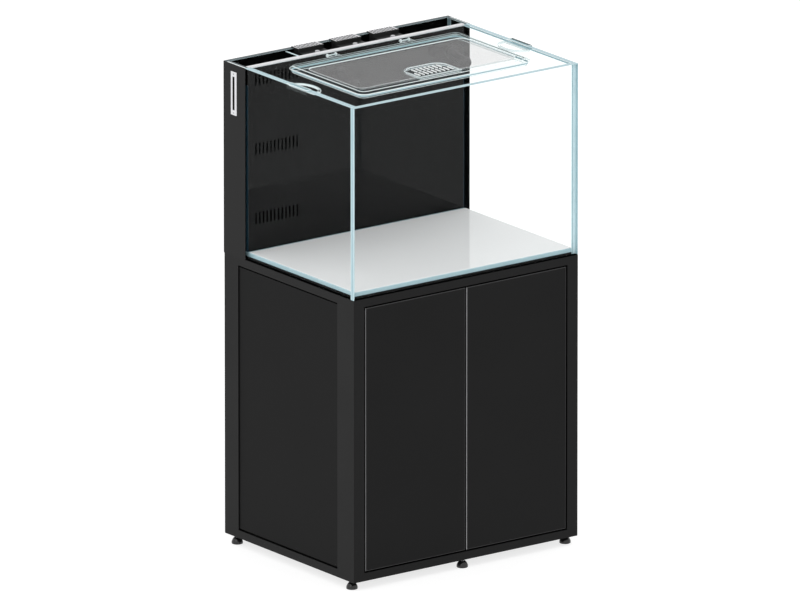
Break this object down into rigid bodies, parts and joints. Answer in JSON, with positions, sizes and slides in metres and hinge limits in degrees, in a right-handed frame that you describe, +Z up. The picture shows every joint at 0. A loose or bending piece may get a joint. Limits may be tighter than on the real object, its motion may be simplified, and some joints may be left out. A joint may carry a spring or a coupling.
{
  "type": "aquarium on stand",
  "caption": "Rimless glass aquarium with rear filter chamber, clear cover, hinged hatch and feed flap, on a black cabinet stand with inset doors and levelling feet.",
  "frame": {"origin": "centre of the footprint on the floor", "axes": "+Z up, front with the doors towards -Y, +X to the right seen from the front"},
  "size_m": [0.6044, 0.471, 1.09],
  "materials": {
    "frame_black": "satin black powder coat",
    "board_black": "black laminate",
    "door_black": "satin black lacquer",
    "clear_glass": "clear float glass",
    "clear_plastic": "clear moulded plastic",
    "black_gloss": "gloss black acrylic",
    "black_plastic": "matte black",
    "white_gloss": "gloss white",
    "grey_plastic": "grey",
    "mat_rubber": "foam rubber",
    "media_foam": "open-cell foam"
  },
  "bodies": {
    "stand_and_tank": {"post_front_left": "frame_black", "post_front_right": "frame_black", "post_rear_left": "frame_black", "post_rear_right": "frame_black", "top_frame": "frame_black", "base_frame": "frame_black", "deck_board": "board_black", "cabinet_floor": "board_black", "side_panel_left": "board_black", "side_panel_right": "board_black", "back_panel": "board_black", "door_pin_left_top": "grey_plastic", "door_pin_left_bottom": "grey_plastic", "door_pin_right_top": "grey_plastic", "door_pin_right_bottom": "grey_plastic", "door_latch_left": "grey_plastic", "door_latch_right": "grey_plastic", "tank_mat": "mat_rubber", "pane_bottom": "clear_glass", "pane_front": "clear_glass", "pane_back": "clear_glass", "pane_left": "clear_glass", "pane_right": "clear_glass", "floor_panel": "white_gloss", "sight_bezel": "white_gloss", "rear_rail": "white_gloss", "divider_left": "clear_glass", "partition": "black_gloss", "divider_right": "black_gloss", "skin_left": "black_gloss", "skin_right": "black_gloss", "skin_back": "black_gloss", "sight_lens": "black_gloss", "pump_body": "black_plastic", "return_pipe": "black_plastic", "clip_left": "clear_plastic", "clip_right": "clear_plastic"},
    "door_left": {"door_left": "door_black"},
    "door_right": {"door_right": "door_black"},
    "cover": {"cover_plate": "clear_glass", "hinge_bracket_left": "clear_plastic", "hinge_bracket_right": "clear_plastic"},
    "hatch": {"hatch_lid": "clear_plastic"},
    "feed_flap": {"feed_flap": "clear_plastic"},
    "basket_left": {"media_basket_left": "black_plastic", "media_block_left": "media_foam"},
    "basket_middle": {"media_basket_middle": "black_plastic", "media_block_middle": "media_foam"},
    "basket_right": {"media_basket_right": "black_plastic", "media_block_right": "media_foam"},
    "nozzle_left": {"nozzle_left": "black_plastic"},
    "nozzle_right": {"nozzle_right": "black_plastic"},
    "impeller": {"pump_impeller": "white_gloss"},
    "foot_front_left": {"foot_front_left": "black_plastic"},
    "foot_front_centre": {"foot_front_centre": "black_plastic"},
    "foot_front_right": {"foot_front_right": "black_plastic"},
    "foot_rear_left": {"foot_rear_left": "black_plastic"},
    "foot_rear_centre": {"foot_rear_centre": "black_plastic"},
    "foot_rear_right": {"foot_rear_right": "black_plastic"}
  },
  "joints": [
    {"name": "door_left_hinge", "type": "hinge", "parent": "stand_and_tank", "child": "door_left", "pos_m": [-0.2585, -0.2285, 0.336], "axis": [0, 0, -1], "range_deg": [0, 95]},
    {"name": "door_right_hinge", "type": "hinge", "parent": "stand_and_tank", "child": "door_right", "pos_m": [0.2585, -0.2285, 0.336], "axis": [0, 0, 1], "range_deg": [0, 95]},
    {"name": "cover_lift", "type": "slide", "parent": "stand_and_tank", "child": "cover", "axis": [0, 0, 1], "range_m": [0, 0.15]},
    {"name": "hatch_hinge", "type": "hinge", "parent": "cover", "child": "hatch", "pos_m": [0, 0.119, 1.086], "axis": [-1, 0, 0], "range_deg": [0, 85]},
    {"name": "feed_flap_hinge", "type": "hinge", "parent": "hatch", "child": "feed_flap", "pos_m": [0, -0.137, 1.0859], "axis": [1, 0, 0], "range_deg": [0, 90]},
    {"name": "nozzle_left_swivel", "type": "hinge", "parent": "stand_and_tank", "child": "nozzle_left", "pos_m": [-0.047, 0.1625, 1.026], "axis": [0, -1, 0], "range_deg": [-90, 90]},
    {"name": "nozzle_right_swivel", "type": "hinge", "parent": "stand_and_tank", "child": "nozzle_right", "pos_m": [0.251, 0.1625, 1.026], "axis": [0, -1, 0], "range_deg": [-90, 90]},
    {"name": "impeller_spin", "type": "hinge", "parent": "stand_and_tank", "child": "impeller", "pos_m": [0.233, 0.1975, 0.691], "axis": [1, 0, 0], "continuous": true},
    {"name": "basket_left_lift", "type": "slide", "parent": "stand_and_tank", "child": "basket_left", "axis": [0, 0, 1], "range_m": [0, 0.42]},
    {"name": "basket_middle_lift", "type": "slide", "parent": "stand_and_tank", "child": "basket_middle", "axis": [0, 0, 1], "range_m": [0, 0.42]},
    {"name": "basket_right_lift", "type": "slide", "parent": "stand_and_tank", "child": "basket_right", "axis": [0, 0, 1], "range_m": [0, 0.42]},
    {"name": "foot_front_left_screw", "type": "slide", "parent": "stand_and_tank", "child": "foot_front_left", "axis": [0, 0, -1], "range_m": [0, 0.01]},
    {"name": "foot_front_centre_screw", "type": "slide", "parent": "stand_and_tank", "child": "foot_front_centre", "axis": [0, 0, -1], "range_m": [0, 0.01]},
    {"name": "foot_front_right_screw", "type": "slide", "parent": "stand_and_tank", "child": "foot_front_right", "axis": [0, 0, -1], "range_m": [0, 0.01]},
    {"name": "foot_rear_left_screw", "type": "slide", "parent": "stand_and_tank", "child": "foot_rear_left", "axis": [0, 0, -1], "range_m": [0, 0.01]},
    {"name": "foot_rear_centre_screw", "type": "slide", "parent": "stand_and_tank", "child": "foot_rear_centre", "axis": [0, 0, -1], "range_m": [0, 0.01]},
    {"name": "foot_rear_right_screw", "type": "slide", "parent": "stand_and_tank", "child": "foot_rear_right", "axis": [0, 0, -1], "range_m": [0, 0.01]}
  ]
}
